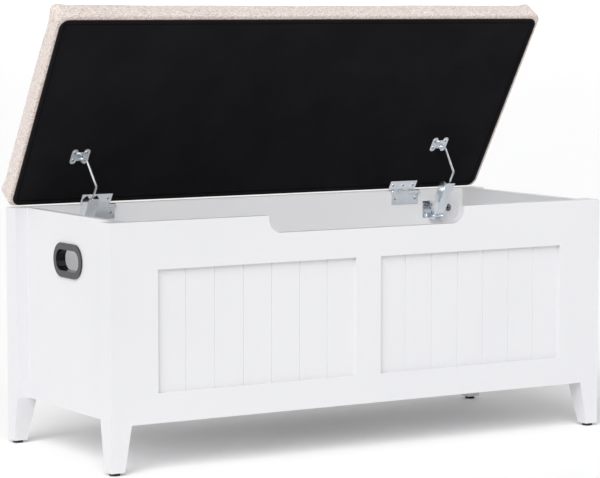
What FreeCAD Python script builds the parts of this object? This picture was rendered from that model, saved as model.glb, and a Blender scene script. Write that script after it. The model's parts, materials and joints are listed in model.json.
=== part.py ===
import FreeCAD, Part
import math
import os

import Sketcher

# Storage bench with a padded lift-up lid.
# Origin on the floor under the centre of the body: X runs along the length, Y to the back, Z up.
# The lid is open; its own pieces are drawn closed, about the hinge axis, and then turned open.

doc = FreeCAD.newDocument("StorageBench")

# ---------------------------------------------------------------- driving dimensions (mm, degrees)
DIMENSIONS = (
    ("body_length", 1000, "over the legs"),
    ("body_depth", 400, "over the legs"),
    ("rim_height", 417, "floor to the top of the legs and panels"),
    ("floor_gap", 82, "floor to the underside of the rails and panels"),
    ("leg_side", 38, "square leg"),
    ("leg_foot", 25, "side of the tapered foot"),
    ("glide_height", 5, "nail-on glide under each leg"),
    ("glide_radius", 9, "glide"),
    ("frame_thickness", 16, "rails and stiles of the front frame"),
    ("top_rail_width", 80, "top rail, top to bottom"),
    ("bottom_rail_width", 50, "bottom rail, top to bottom"),
    ("stile_width", 50, "stiles of the front frame"),
    ("cutout_half", 200, "half the length of the hand cut-out"),
    ("cutout_depth", 30, "hand cut-out below the rim"),
    ("cutout_radius", 25, "lower corners of the hand cut-out"),
    ("bead_thickness", 9, "grooved panel"),
    ("bead_recess", 6.5, "grooved panel behind the face of the frame"),
    ("bead_tongue", 5, "grooved panel let into the frame"),
    ("bead_boards", 7, "boards shown by the grooves of one panel"),
    ("bead_groove", 2.5, "width of a V groove at the face"),
    ("panel_thickness", 15, "side and back panels"),
    ("back_inset", 3, "back panel in front of the legs' rear faces"),
    ("bottom_thickness", 9, "bottom panel"),
    ("cleat_height", 12, "cleats under the bottom panel"),
    ("cleat_width", 18, "cleats under the bottom panel"),
    ("grip_drop", 79, "middle of the hand hole below the rim"),
    ("grip_length", 106, "flange of the grip ring"),
    ("grip_width", 59, "flange of the grip ring"),
    ("grip_flange", 3, "flange thickness of the grip ring"),
    ("grip_sleeve_length", 92, "sleeve of the grip ring"),
    ("grip_sleeve_width", 42, "sleeve of the grip ring"),
    ("grip_bore_length", 86, "hand hole"),
    ("grip_bore_width", 36, "hand hole"),
    ("lid_end_gap", 3.5, "half the difference of the body's length and the lid's"),
    ("lid_shift", 8, "middle of the lid to the left of the body's middle"),
    ("lid_overhang", 15.5, "front of the lid past the front legs"),
    ("lid_gap", 0.5, "closed lid above the rim"),
    ("lid_clearance", 2, "rear edge of the lid in front of the hinge axis"),
    ("openangle", 57.5, "lid opening"),
    ("board_thickness", 12, "lid board"),
    ("board_inset", 5, "edge of the lid board inside the cover's outer face"),
    ("foam_thickness", 35, "foam pad above the board"),
    ("cover_thickness", 1.2, "seat cover fabric"),
    ("cover_corner", 14, "corners of the cover, seen from above"),
    ("cover_crown", 9, "rounding of the cover's top edge"),
    ("cover_hem", 30, "cover turned in under the board"),
    ("dust_thickness", 0.8, "dust cover cloth"),
    ("dust_inset", 4, "edge of the dust cover inside the lid's edge"),
    ("dust_corner", 17, "corners of the dust cover"),
    ("hinge_inset", 135, "middle of a hinge to the inner face of the legs"),
    ("hinge_length", 60, "hinge leaf along its pin"),
    ("hinge_leaf", 24, "axis to the far edge of a leaf"),
    ("hinge_gauge", 1.5, "leaf thickness"),
    ("knuckle_radius", 3.5, "hinge knuckle"),
    ("knuckle_pin", 1.5, "hinge pin radius"),
    ("knuckle_play", 0.2, "gap at each end of a knuckle"),
    ("hinge_offset", 9.5, "lid leaf set off to the left of its knuckles"),
    ("running_play", 0.05, "radial clearance of a turning fit"),
    ("leaf_play", 0.5, "hinge leaf clear of the other leaf's knuckles"),
    ("wire_gap", 0.5, "foot of the bent wire above the plunger"),
    ("screw_length", 11, "countersunk screws"),
    ("screw_radius", 1.6, "countersunk screws"),
    ("screw_head", 3.6, "countersunk head radius"),
    ("right_stay_inset", 70, "right channel to the inner face of the right legs"),
    ("left_stay_inset", 94, "left channel to the inner face of the left legs"),
    ("stay_drop", 49, "stay pivot below the hinge axis"),
    ("stay_reach", 17, "stay pivot in front of the back panel"),
    ("stay_lean", 31.5, "channel forward of upright, lid open"),
    ("channel_length", 80, "pivot to the upper end of the channel"),
    ("channel_width", 20, "channel over its flanges"),
    ("channel_depth", 15, "pivot line to the flanges' edge"),
    ("channel_web", 5, "pivot line to the outside of the web"),
    ("channel_gauge", 1.2, "channel sheet"),
    ("rivet_radius", 2, "stay pivot"),
    ("lug_radius", 5.5, "rounded end of the lugs"),
    ("lug_gauge", 1.5, "base plate, lugs and lid bracket"),
    ("base_width", 32, "base plate"),
    ("base_height", 32, "base plate"),
    ("plunger_place", 64, "pivot to the plunger's underside, lid open"),
    ("plunger_length", 8, "plunger"),
    ("plunger_play", 0.2, "plunger in the channel"),
    ("spring_radius", 5, "centre line of the coils"),
    ("spring_wire", 0.7, "radius of the spring's wire"),
    ("spring_turns", 7, "coils"),
    ("wire_radius", 2, "bent wire"),
    ("wire_rise", 24, "the wire's bend above the upper end of the channel"),
    ("eye_reach", 108, "hinge axis to the wire's eye, along the lid"),
    ("eye_drop", 9, "the wire's eye below the lid"),
    ("eye_shift", 25.5, "lid bracket to the left of the channel"),
    ("ear_length", 31, "ears of the lid bracket"),
    ("ear_width", 12, "ears of the lid bracket"),
    ("ear_spread", 11.6, "ears to the middle of the bracket"),
    ("cam_radius", 7.5, "cam lock"),
    ("cam_cover", 2.5, "panel left behind a cam lock"),
    ("cam_setback", 33, "cam lock to the edge of its panel"),
    ("bolt_radius", 3, "cam bolt"),
    ("dowel_radius", 4, "dowel"),
    ("dowel_grip", 12, "cam bolts and dowels into each piece"),
)

sheet = doc.addObject("Spreadsheet::Sheet", "dims")
for row, (alias, number, meaning) in enumerate(DIMENSIONS, start=1):
    sheet.set("A%d" % row, alias)
    sheet.set("B%d" % row, str(number))
    sheet.set("C%d" % row, meaning)
    sheet.setAlias("B%d" % row, alias)

# Sizes that follow from the driving ones, as formulas of the same sheet.
DERIVED = (
    ("half_length", "=body_length / 2"),
    ("half_depth", "=body_depth / 2"),
    ("inner_half", "=half_length - leg_side"),
    ("leg_inner", "=half_depth - leg_side"),
    ("panel_height", "=rim_height - floor_gap"),
    ("opening_low", "=floor_gap + bottom_rail_width"),
    ("opening_high", "=rim_height - top_rail_width"),
    ("bead_height", "=opening_high - opening_low + 2 * bead_tongue"),
    ("opening_width", "=inner_half - stile_width * 3 / 2"),
    ("bead_width", "=opening_width + 2 * bead_tongue"),
    ("bead_pitch", "=opening_width / bead_boards"),
    ("back_face", "=half_depth - back_inset - panel_thickness"),
    ("front_inside", "=frame_thickness - half_depth"),
    ("bottom_level", "=floor_gap + cleat_height"),
    ("axis_back", "=back_face - knuckle_radius"),
    ("axis_height", "=rim_height + lid_gap - knuckle_radius"),
    ("underside", "=knuckle_radius"),
    ("hem_level", "=underside + dust_thickness"),
    ("board_level", "=hem_level + cover_thickness"),
    ("foam_level", "=board_level + board_thickness"),
    ("cover_top", "=foam_level + foam_thickness + cover_thickness"),
    ("lid_half", "=half_length - lid_end_gap"),
    ("lid_length", "=2 * lid_half"),
    ("lid_depth", "=axis_back - lid_clearance + half_depth + lid_overhang"),
    ("segment", "=hinge_length / 5"),
    ("stay_back", "=back_face - stay_reach"),
    ("stay_height", "=axis_height - stay_drop"),
    ("channel_inner", "=channel_width / 2 - channel_gauge"),
    ("shelf_level", "=channel_web + lug_radius - channel_gauge"),
    ("plunger_top", "=plunger_place + plunger_length"),
    ("plunger_back", "=channel_gauge + plunger_play - channel_web"),
    ("plunger_front", "=lug_radius * 3 / 2"),
    ("grip_height", "=rim_height - grip_drop"),
    ("hinge_place", "=inner_half - hinge_inset"),
    ("right_stay", "=inner_half - right_stay_inset"),
    ("left_stay", "=left_stay_inset - inner_half"),
    ("wire_bend", "=channel_length + wire_rise"),
    ("cam_depth", "=panel_thickness - cam_cover"),
    ("bolt_length", "=cam_setback - bolt_radius + dowel_grip"),
    ("cam_high", "=rim_height - cam_setback - 5"),
    ("cam_low", "=floor_gap + cam_setback + 5"),
)
for row, (alias, formula) in enumerate(DERIVED, start=len(DIMENSIONS) + 1):
    sheet.set("A%d" % row, alias)
    sheet.set("B%d" % row, formula)
    sheet.setAlias("B%d" % row, alias)
doc.recompute()

SIZES = [entry[0] for entry in DIMENSIONS + DERIVED]


def formula(text):
    """An expression with each alias pointed at the sheet."""
    words, word = [], ""
    for letter in str(text) + " ":
        if letter.isalnum() or letter in "_.":
            word += letter
            continue
        words.append("dims." + word if word in SIZES else word)
        words.append(letter)
        word = ""
    return "".join(words).strip()


def value(text):
    """The present number of an expression, for the shapes that Part's own functions make."""
    return float(sheet.evalExpression(formula(text)))


def bind(feature, **properties):
    for name, text in properties.items():
        feature.setExpression(name, formula(text))


def place(feature, x=0, y=0, z=0, axis=None, angle=0):
    """Puts a feature at bound coordinates, turned by a bound angle about an axis."""
    if axis:
        feature.Placement = FreeCAD.Placement(FreeCAD.Vector(), FreeCAD.Rotation(FreeCAD.Vector(*axis), 0))
        feature.setExpression("Placement.Rotation.Angle", "(%s) * 1 deg" % formula(angle))
    for letter, text in zip("xyz", (x, y, z)):
        feature.setExpression("Placement.Base." + letter, formula(text))
    return feature


def box(name, length, width, height, x=0, y=0, z=0):
    feature = doc.addObject("Part::Box", name)
    bind(feature, Length=length, Width=width, Height=height)
    return place(feature, x, y, z)


TURNS = {"X": ((0, 1, 0), 90), "-X": ((0, 1, 0), -90), "Y": ((1, 0, 0), -90), "-Y": ((1, 0, 0), 90),
         "Z": (None, 0), "-Z": ((1, 0, 0), 180)}


def cylinder(name, radius, height, x=0, y=0, z=0, along="Z"):
    feature = doc.addObject("Part::Cylinder", name)
    bind(feature, Radius=radius, Height=height)
    axis, angle = TURNS[along]
    return place(feature, x, y, z, axis, angle)


def cone(name, radius, end_radius, height, x=0, y=0, z=0, along="Z"):
    feature = doc.addObject("Part::Cone", name)
    bind(feature, Radius1=radius, Radius2=end_radius, Height=height)
    axis, angle = TURNS[along]
    return place(feature, x, y, z, axis, angle)


def fuse(name, pieces):
    feature = doc.addObject("Part::MultiFuse", name)
    feature.Shapes = pieces
    feature.Refine = True
    return feature


def group(name, pieces):
    feature = doc.addObject("Part::Compound", name)
    feature.Links = pieces
    return feature


def cut(name, base, tool):
    feature = doc.addObject("Part::Cut", name)
    feature.Base = base
    feature.Tool = tool
    return feature


def stadium(name, length, width, height, x, y, z):
    """A plate with round ends, lying in the YZ plane, height along X."""
    straight = "(%s) - (%s)" % (length, width)
    pieces = [box(name + "_middle", height, straight, width, x, "%s - (%s) / 2" % (y, straight),
                  "%s - (%s) / 2" % (z, width))]
    for sign in ("-", "+"):
        pieces.append(cylinder(name + "_end", "(%s) / 2" % width, height, x,
                               "%s %s (%s) / 2" % (y, sign, straight), z, "X"))
    return fuse(name, pieces)


def prism(name, plane, points, length, **where):
    """A padded PartDesign body: an outline of bound corner points on one of its origin planes."""
    body = doc.addObject("PartDesign::Body", name)
    support = [f for f in body.Origin.OriginFeatures if f.Role == plane][0]
    sketch = body.newObject("Sketcher::SketchObject", name + "_outline")
    sketch.AttachmentSupport = [(support, "")]
    sketch.MapMode = "FlatFace"
    count = len(points)
    corners = [FreeCAD.Vector(value(u), value(v), 0) for u, v in points]
    for index in range(count):
        sketch.addGeometry(Part.LineSegment(corners[index], corners[(index + 1) % count]))
    for index in range(count):
        sketch.addConstraint(Sketcher.Constraint("Coincident", index, 2, (index + 1) % count, 1))
    for index, (u, v) in enumerate(points):
        for kind, text, start in (("DistanceX", u, corners[index].x), ("DistanceY", v, corners[index].y)):
            number = sketch.addConstraint(Sketcher.Constraint(kind, -1, 1, index, 1, start))
            sketch.setExpression("Constraints[%d]" % number, formula(text))
    pad = body.newObject("PartDesign::Pad", name + "_pad")
    pad.Profile = sketch
    pad.Midplane = True
    bind(pad, Length=length)
    return place(body, **where)


def rounded(name, base, vertical, crown=None):
    """Rounds a box's upright edges, and then its top edges, by bound radii."""
    doc.recompute()
    feature = doc.addObject("Part::Fillet", name)
    feature.Base = base
    upright = [number for number, edge in enumerate(base.Shape.Edges, start=1)
               if edge.BoundBox.XLength + edge.BoundBox.YLength < 1e-3]
    feature.Edges = [(number, value(vertical), value(vertical)) for number in upright]
    if crown is None:
        return feature
    doc.recompute()
    top = feature.Shape.BoundBox.ZMax
    rim = [number for number, edge in enumerate(feature.Shape.Edges, start=1)
           if top - edge.BoundBox.ZMin < 1e-3]
    crowned = doc.addObject("Part::Fillet", name + "_crown")
    crowned.Base = feature
    crowned.Edges = [(number, value(crown), value(crown)) for number in rim]
    return crowned


def screw(name, x, y, z, along):
    """A countersunk screw: its head's face is at the given point, and it points along an axis."""
    neck = "(screw_head - screw_radius)"
    sign = "-" if along.startswith("-") else "+"
    shift = {"X": (neck, 0, 0), "Y": (0, neck, 0), "Z": (0, 0, neck)}[along[-1]]
    start = ["%s %s %s" % (text, sign, offset) for text, offset in zip((x, y, z), shift)]
    return fuse(name, [cone(name + "_head", "screw_head", "screw_radius", neck, x, y, z, along),
                       cylinder(name + "_shank", "screw_radius", "screw_length - " + neck, *start, along)])


pieces = []


def keep(name, feature):
    """Names a finished sub-part."""
    feature.Label = name
    pieces.append(feature)
    return feature


SIDES = (("left", -1), ("right", 1))
ENDS = (("front", -1), ("rear", 1))


def outward(sign, near, far):
    """The lower coordinate of a stretch from near to far, measured outward on either side."""
    return near if sign > 0 else "-(%s)" % far


# ---------------------------------------------------------------- hidden joints of the body
def joint_hardware():
    """Cam locks in the panels' inner faces, their bolts into the legs, and the dowels."""
    cams, bolts, dowels = [], [], []
    setback_x, setback_y = "(inner_half - cam_setback)", "(leg_inner - cam_setback)"
    back_middle = "back_face + panel_thickness / 2"
    frame_middle = "front_inside - frame_thickness / 2"
    rail_levels = (("rim_height - top_rail_width / 2", "rim_height - dowel_radius * 4"),
                   ("floor_gap + bottom_rail_width / 2", "floor_gap + dowel_grip"))
    middle_height = "(rim_height + floor_gap) / 2"

    def lock(x, y, z, along):
        cams.append(cylinder("cam", "cam_radius", "cam_depth", x, y, z, along))

    def bolt(x, y, z, along):
        bolts.append(cylinder("bolt", "bolt_radius", "bolt_length", x, y, z, along))

    def dowel(x, y, z, along):
        dowels.append(cylinder("dowel", "dowel_radius", "2 * dowel_grip", x, y, z, along))

    for side, sx in SIDES:
        turned = "X" if sx > 0 else "-X"
        bolt_start = "%d * (%s + bolt_radius)" % (sx, setback_x)
        dowel_start = "%d * (inner_half - dowel_grip)" % sx
        for z in ("cam_high", "cam_low"):
            lock("%d * %s" % (sx, setback_x), "back_face", z, "Y")
            bolt(bolt_start, back_middle, z, turned)
        for z, dowel_z in rail_levels:
            lock("%d * %s" % (sx, setback_x), "front_inside", z, "-Y")
            bolt(bolt_start, frame_middle, z, turned)
            dowel(dowel_start, frame_middle, dowel_z, turned)
        dowel(dowel_start, back_middle, middle_height, turned)
        panel_middle = "%d * (inner_half + panel_thickness / 2)" % sx
        for end, sy in ENDS:
            turned_y = "Y" if sy > 0 else "-Y"
            for z in ("cam_high", "cam_low"):
                lock("%d * inner_half" % sx, "%d * %s" % (sy, setback_y), z, turned)
                bolt(panel_middle, "%d * (%s + bolt_radius)" % (sy, setback_y), z, turned_y)
            dowel(panel_middle, "%d * (leg_inner - dowel_grip)" % sy, middle_height, turned_y)
    for x in ("stile_width / 2 - inner_half", "-stile_width / 4", "stile_width / 4",
              "inner_half - stile_width / 2"):
        for z in ("opening_low", "opening_high"):
            dowel(x, frame_middle, z + " - dowel_grip", "Z")
    bolt_group, dowel_group = group("bolts", bolts), group("dowel_group", dowels)
    keep("cam_locks", cut("cams", group("cam_group", cams), bolt_group))
    keep("cam_bolts", bolt_group)
    keep("dowels", dowel_group)
    return group("hardware", cams + [bolt_group, dowel_group])


hardware = joint_hardware()


# ---------------------------------------------------------------- legs and glides
def leg(name, sx, sy):
    """A square post whose two inner faces taper to the foot, below the rails."""
    post = box(name + "_post", "leg_side", "leg_side", "rim_height - floor_gap",
               outward(sx, "inner_half", "half_length"),
               outward(sy, "leg_inner", "half_depth"), "floor_gap")
    foot = doc.addObject("Part::Wedge", name + "_foot")
    along_x = ("half_length - (%s)", "half_length") if sx > 0 else ("-half_length", "(%s) - half_length")
    # The wedge is drawn along its own Y and stood up, so its Z runs towards the front.
    along_z = ("half_depth - (%s)", "half_depth") if sy < 0 else ("-half_depth", "(%s) - half_depth")
    for low, high, side in (("Xmin", "Xmax", "leg_foot"), ("X2min", "X2max", "leg_side")):
        bind(foot, **{low: along_x[0].replace("%s", side), high: along_x[1].replace("%s", side)})
        bind(foot, **{low.replace("X", "Z"): along_z[0].replace("%s", side),
                      high.replace("X", "Z"): along_z[1].replace("%s", side)})
    bind(foot, Ymin="0", Ymax="floor_gap - glide_height")
    place(foot, 0, 0, "glide_height", (1, 0, 0), 90)
    return cut(name, fuse(name + "_blank", [post, foot]), hardware)


for side, sx in SIDES:
    for end, sy in ENDS:
        keep("leg_%s_%s" % (end, side), leg("leg_%s_%s" % (end, side), sx, sy))
        middle = "half_length - leg_foot / 2", "half_depth - leg_foot / 2"
        keep("glide_%s_%s" % (end, side),
             cylinder("glide_%s_%s" % (end, side), "glide_radius", "glide_height",
                      "%d * (%s)" % (sx, middle[0]), "%d * (%s)" % (sy, middle[1]), 0))


# ---------------------------------------------------------------- grooved front panels
def bead_panel(name, left):
    """A tongued panel with V grooves between its boards."""
    face = "bead_recess - half_depth"
    blank = box(name + "_blank", "bead_width", "bead_thickness", "bead_height",
                "%s - bead_tongue" % left, face, "opening_low - bead_tongue")
    grooves = []
    for number in range(1, int(value("bead_boards"))):
        middle = "%s + %d * bead_pitch" % (left, number)
        outline = (("-bead_groove / 2", "-bead_groove / 4"), ("bead_groove / 2", "-bead_groove / 4"),
                   ("0", "bead_groove / 2"))
        grooves.append(prism("%s_groove_%d" % (name, number), "XY_Plane", outline, "bead_height + 2",
                             x=middle, y=face, z="(opening_low + opening_high) / 2"))
    return blank, cut(name, blank, group(name + "_grooves", grooves))


bead_blanks = []
for side, left in (("left", "stile_width - inner_half"), ("right", "stile_width / 2")):
    blank, panel = bead_panel("bead_panel_" + side, left)
    bead_blanks.append(blank)
    keep("bead_panel_" + side, panel)
frame_cutters = group("frame_cutters", bead_blanks + [hardware])


# ---------------------------------------------------------------- front frame
def hand_cutout():
    """A shallow cut with two round lower corners, open at the rim."""
    low = "rim_height - cutout_depth"
    reach = "cutout_half - cutout_radius"
    deep, start = "frame_thickness + 2", "-half_depth - 1"
    tools = [box("cutout_floor", "2 * (%s)" % reach, deep, "cutout_depth + 1",
                 "-(%s)" % reach, start, low),
             box("cutout_mouth", "2 * cutout_half", deep, "cutout_depth - cutout_radius + 1",
                 "-cutout_half", start, low + " + cutout_radius")]
    for sign in (-1, 1):
        tools.append(cylinder("cutout_corner", "cutout_radius", deep, "%d * (%s)" % (sign, reach),
                              start, low + " + cutout_radius", "Y"))
    return fuse("cutout", tools)


def frame_piece(name, length, height, x, z, extra=()):
    blank = box(name + "_blank", length, "frame_thickness", height, x, "-half_depth", z)
    return keep(name, cut(name, blank, group(name + "_cutters", [frame_cutters, *extra])))


frame_piece("front_top_rail", "2 * inner_half", "top_rail_width", "-inner_half", "opening_high",
            [hand_cutout()])
frame_piece("front_bottom_rail", "2 * inner_half", "bottom_rail_width", "-inner_half", "floor_gap")
for name, x in (("left", "-inner_half"), ("centre", "-stile_width / 2"),
                ("right", "inner_half - stile_width")):
    frame_piece("stile_" + name, "stile_width", "opening_high - opening_low", x, "opening_low")


# ---------------------------------------------------------------- side panels and their grip rings
for side, sx in SIDES:
    outer_face = "inner_half + panel_thickness"
    blank = box("side_%s_blank" % side, "panel_thickness", "2 * leg_inner", "panel_height",
                outward(sx, "inner_half", outer_face), "-leg_inner", "floor_gap")
    sleeve = stadium("sleeve_" + side, "grip_sleeve_length", "grip_sleeve_width", "panel_thickness",
                     outward(sx, "inner_half", outer_face), "0", "grip_height")
    flange = stadium("flange_" + side, "grip_length", "grip_width", "grip_flange",
                     outward(sx, outer_face, outer_face + " + grip_flange"), "0", "grip_height")
    bore = stadium("bore_" + side, "grip_bore_length", "grip_bore_width", "panel_thickness + grip_flange",
                   outward(sx, "inner_half", outer_face + " + grip_flange"), "0", "grip_height")
    keep("side_panel_" + side,
         cut("side_panel_" + side, blank, group("side_cutters_" + side, [sleeve, hardware])))
    keep("grip_ring_" + side, cut("grip_ring_" + side, fuse("grip_blank_" + side, [sleeve, flange]), bore))


# ---------------------------------------------------------------- bottom panel on its cleats
bottom_depth = "back_face - front_inside"
keep("bottom_panel", box("bottom_panel", "2 * inner_half", bottom_depth, "bottom_thickness",
                         "-inner_half", "front_inside", "bottom_level"))
for name, y in (("front", "front_inside"), ("rear", "back_face - cleat_width")):
    keep("cleat_" + name, box("cleat_" + name, "2 * inner_half", "cleat_width", "cleat_height",
                              "-inner_half", y, "floor_gap"))
keep("centre_batten", box("centre_batten", "2 * cleat_width", bottom_depth + " - 2 * cleat_width",
                          "cleat_height", "-cleat_width", "front_inside + cleat_width", "floor_gap"))


# ---------------------------------------------------------------- lid, drawn closed about the hinge axis
def opened(feature):
    """Turns a piece that was drawn closed, about the hinge axis, to the open lid's place."""
    return place(feature, 0, "axis_back", "axis_height", (1, 0, 0), "-openangle")


def hinge_spots(sign, places):
    """The screws of one leaf, at eighths of its length from its middle."""
    return ["%d * hinge_place + hinge_length * (%d) / 8" % (sign, place) for place in places]


leaf_row = "(knuckle_radius + hinge_leaf) / 2"
leaf_under = "underside - hinge_gauge"
lid_hinge_screws = [screw("lid_leaf_screw", spot + " - hinge_offset", "-" + leaf_row, leaf_under, "Z")
                    for side, sign in SIDES for spot in hinge_spots(sign, (-3, 0, 3))]
body_hinge_screws = [screw("body_leaf_screw", spot, "back_face - hinge_gauge",
                           "axis_height - " + leaf_row, "Y")
                     for side, sign in SIDES for spot in hinge_spots(sign, (-3, 3))]
bracket_middles = ["left_stay - eye_shift", "right_stay - eye_shift"]
bracket_screws = [screw("bracket_screw", "%s %s ear_spread" % (middle, ear),
                        "-eye_reach %s ear_length / 4" % row, "underside - lug_gauge", "Z")
                  for middle in bracket_middles for ear in "-+" for row in "-+"]
lid_screws = group("lid_screws", lid_hinge_screws + bracket_screws)

lid_front = "-lid_clearance - lid_depth"


def lid_slab(name, inset, height, level):
    """A plain slab over the lid's whole plan, less an inset all round."""
    return box(name, "lid_length - 2 * (%s)" % inset, "lid_depth - 2 * (%s)" % inset, height,
               "%s - lid_half - lid_shift" % inset, "%s + %s" % (lid_front, inset), level)


cover_block = rounded("cover_outside", lid_slab("cover_block", "0", "cover_top - hem_level", "hem_level"),
                      "cover_corner", "cover_crown")
core_block = lid_slab("core_block", "cover_thickness", "cover_top - cover_thickness - board_level",
                      "board_level")
core = rounded("cover_inside", core_block, "cover_corner - cover_thickness",
               "cover_crown - cover_thickness")
hem_mouth = lid_slab("hem_mouth", "cover_hem", "2 * cover_thickness", "hem_level - cover_thickness")
board_blank = rounded("board_blank", lid_slab("board_slab", "board_inset", "board_thickness", "board_level"),
                      "cover_corner - board_inset")
dust_sheet = rounded("dust_sheet", lid_slab("dust_block", "dust_inset", "dust_thickness", "underside"),
                     "dust_corner")
keep("lid_board", opened(cut("board", board_blank, lid_screws)))
keep("seat_foam", opened(cut("foam", core, group("foam_cutters", [board_blank, lid_screws]))))
keep("seat_cover", opened(cut("cover", cover_block, group("cover_cutters", [core, hem_mouth, lid_screws]))))
keep("dust_cover", opened(cut("dust", dust_sheet, lid_screws)))
keep("hinge_lid_screws", opened(group("placed_lid_hinge_screws", lid_hinge_screws)))
keep("stay_bracket_screws", opened(group("placed_bracket_screws", bracket_screws)))
keep("hinge_body_screws", group("placed_body_hinge_screws", body_hinge_screws))


# ---------------------------------------------------------------- butt hinges
def knuckle(name, x, number, y, z):
    """One of the five barrels, with a little play at both ends."""
    return cylinder(name, "knuckle_radius", "segment - knuckle_play",
                    "%s + (%d - 5 / 2) * segment + knuckle_play / 2" % (x, number), y, z, "X")


leaf_plate = "(hinge_leaf - knuckle_radius - leaf_play)"
leaf_strap = "knuckle_radius + leaf_play"

for side, sign in SIDES:
    middle = "%d * hinge_place" % sign
    edge = "%s - hinge_length / 2" % middle
    axis = "axis_back", "axis_height", "X"
    pin_start = edge + " - hinge_gauge"
    pin_pieces = [cylinder("pin_stem_" + side, "knuckle_pin", "hinge_length + 2 * hinge_gauge",
                           pin_start, *axis)]
    for start in (pin_start, "%s + hinge_length / 2" % middle):
        pin_pieces.append(cylinder("pin_head_" + side, "knuckle_pin * 3 / 2", "hinge_gauge", start, *axis))
    pin = keep("hinge_pin_" + side, fuse("hinge_pin_" + side, pin_pieces))

    body_leaf = [box("body_plate_" + side, "hinge_length", "hinge_gauge", leaf_plate,
                     edge, "back_face - hinge_gauge", "axis_height - hinge_leaf")]
    for number in (0, 2, 4):
        start = "%s + %d * segment + knuckle_play / 2" % (edge, number)
        body_leaf.append(box("body_strap_" + side, "segment - knuckle_play", "hinge_gauge", leaf_strap,
                             start, "back_face - hinge_gauge", "axis_height - (%s)" % leaf_strap))
        body_leaf.append(knuckle("body_knuckle_" + side, middle, number, "axis_back", "axis_height"))
    keep("hinge_body_leaf_" + side,
         cut("hinge_body_leaf_" + side, fuse("body_leaf_" + side, body_leaf),
             group("body_leaf_cutters_" + side, [pin] + body_hinge_screws)))

    lid_leaf = [box("lid_plate_" + side, "hinge_length", leaf_plate, "hinge_gauge",
                    edge + " - hinge_offset", "-hinge_leaf", leaf_under)]
    for number in (1, 3):
        start = "%s + %d * segment + knuckle_play / 2" % (edge, number)
        lid_leaf.append(box("lid_strap_" + side, "segment - knuckle_play", leaf_strap, "hinge_gauge",
                            start, "-(%s)" % leaf_strap, leaf_under))
        lid_leaf.append(knuckle("lid_knuckle_" + side, middle, number, "0", "0"))
    pin_bore = cylinder("pin_bore_" + side, "knuckle_pin + running_play", "hinge_length", edge, 0, 0, "X")
    keep("hinge_lid_leaf_" + side,
         opened(cut("lid_leaf_cut_" + side, fuse("lid_leaf_" + side, lid_leaf),
                    group("lid_leaf_cutters_" + side, [pin_bore] + lid_hinge_screws))))


# ---------------------------------------------------------------- lid stays, both of the same hand
def in_channel(feature, x):
    """Puts a piece drawn along Z from the stay's pivot on the leaning channel."""
    return place(feature, x, "stay_back", "stay_height", (1, 0, 0), "stay_lean")


def stay_channel(name, x):
    """A folded channel, open to the back, with a shelf for the spring and two flanges for the pivot."""
    outline = (("-channel_web", "-lug_radius"), ("lug_radius", "-lug_radius"),
               ("lug_radius", "channel_length / 3"),
               ("channel_depth", "channel_length / 3 + channel_width / 2"),
               ("channel_depth", "channel_length * 5 / 6"), ("lug_radius", "channel_length"),
               ("-channel_web", "channel_length"))
    blank = prism(name + "_fold", "YZ_Plane", outline, "channel_width")
    inside = box(name + "_inside", "2 * channel_inner", "channel_depth + channel_web", "channel_length",
                 "-channel_inner", "channel_gauge - channel_web", "shelf_level + channel_gauge")
    below = box(name + "_below", "2 * channel_inner", "channel_depth + channel_web + 2",
                "shelf_level + lug_radius + 1", "-channel_inner", "-channel_web - 1", "-lug_radius - 1")
    bore = cylinder(name + "_bore", "rivet_radius + running_play", "channel_width + 2",
                    "-channel_width / 2 - 1", 0, 0, "X")
    return in_channel(cut(name, blank, group(name + "_cutters", [inside, below, bore])), x)


def stay_rivet(name, x):
    """The pivot, headed over outside the channel's flanges."""
    reach = "channel_width / 2 + plunger_play"
    axis = "stay_back", "stay_height", "X"
    stem = cylinder(name + "_stem", "rivet_radius", "2 * (%s)" % reach, "%s - (%s)" % (x, reach), *axis)
    heads = [cylinder(name + "_head", "rivet_radius * 7 / 4", "channel_gauge", start, *axis)
             for start in ("%s - (%s) - channel_gauge" % (x, reach), "%s + %s" % (x, reach))]
    return fuse(name, [stem] + heads)


def stay_base(name, x, rivet, screws):
    """A plate on the back panel with two lugs that carry the rivet inside the channel."""
    outer = "channel_inner - plunger_play"
    low = "stay_height - lug_radius / 2"
    pieces_of_base = [box(name + "_plate", "base_width", "lug_gauge", "base_height",
                          "%s + %s - base_width" % (x, outer), "back_face - lug_gauge", low)]
    for start in ("%s + %s - lug_gauge" % (x, outer), "%s - (%s)" % (x, outer)):
        pieces_of_base.append(box(name + "_lug", "lug_gauge", "stay_reach", "2 * lug_radius",
                                  start, "stay_back", "stay_height - lug_radius"))
        pieces_of_base.append(cylinder(name + "_lug_end", "lug_radius", "lug_gauge",
                                       start, "stay_back", "stay_height", "X"))
    return cut(name, fuse(name + "_blank", pieces_of_base), group(name + "_cutters", [rivet] + screws))


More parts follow.
